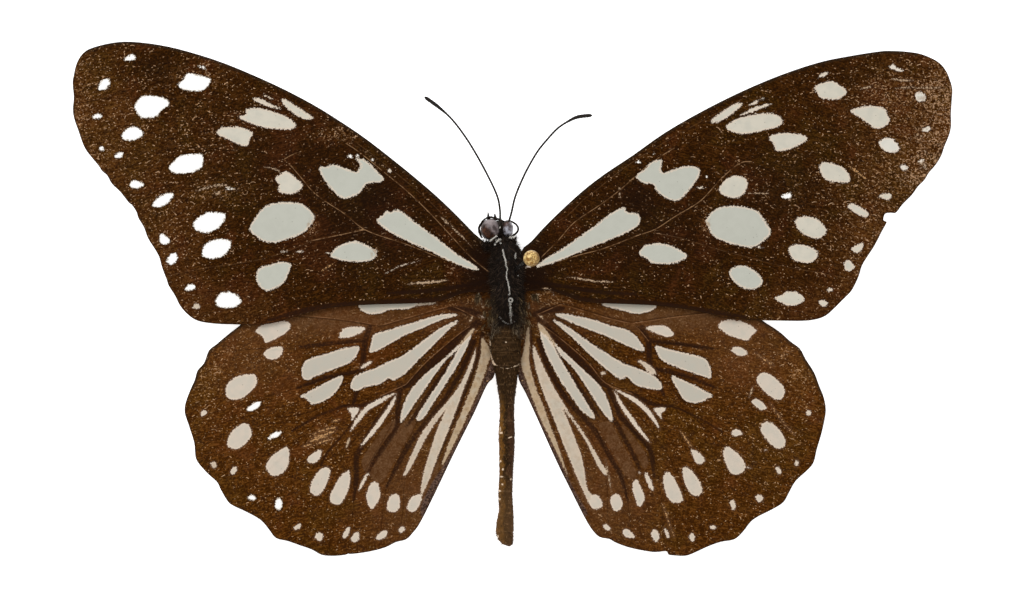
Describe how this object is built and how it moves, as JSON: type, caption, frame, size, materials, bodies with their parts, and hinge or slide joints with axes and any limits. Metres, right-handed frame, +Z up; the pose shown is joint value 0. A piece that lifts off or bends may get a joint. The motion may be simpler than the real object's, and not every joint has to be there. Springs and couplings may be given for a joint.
{
  "type": "pinned butterfly specimen",
  "caption": "Pinned, spread butterfly specimen with dark brown, pale-spotted wings, clubbed antennae and a long thin abdomen, held on a short black pin with a round gold head.",
  "frame": {"origin": "middle of the wingspan and of the length from the forewing tips to the hindwing margins, on the surface that the specimen lies on", "axes": "+X towards the specimen's right wings, +Y towards its head, +Z up through its back"},
  "size_m": [0.0924, 0.054, 0.0144],
  "materials": {
    "forewing": "matt dark brown scales",
    "hindwing": "matt brown scales",
    "body_hair": "short dark hair",
    "abdomen": "dry, finely scaled",
    "eye": "glossy",
    "antenna": "satin",
    "leg": "dry, satin",
    "pin_black": "black enamel",
    "pin_gold": "tarnished, slightly mottled"
  },
  "bodies": {
    "root": {"forewing_left": "forewing", "forewing_right": "forewing", "hindwing_left": "hindwing", "hindwing_right": "hindwing", "thorax": "body_hair", "head": "body_hair", "palp_left": "body_hair", "palp_right": "body_hair", "abdomen": "abdomen", "eye_left": "eye", "eye_right": "eye", "antenna_left": "antenna", "antenna_right": "antenna", "proboscis": "antenna", "midleg_left": "leg", "midleg_right": "leg", "hindleg_left": "leg", "hindleg_right": "leg", "pin_shaft": "pin_black", "pin_head": "pin_gold"}
  },
  "joints": []
}
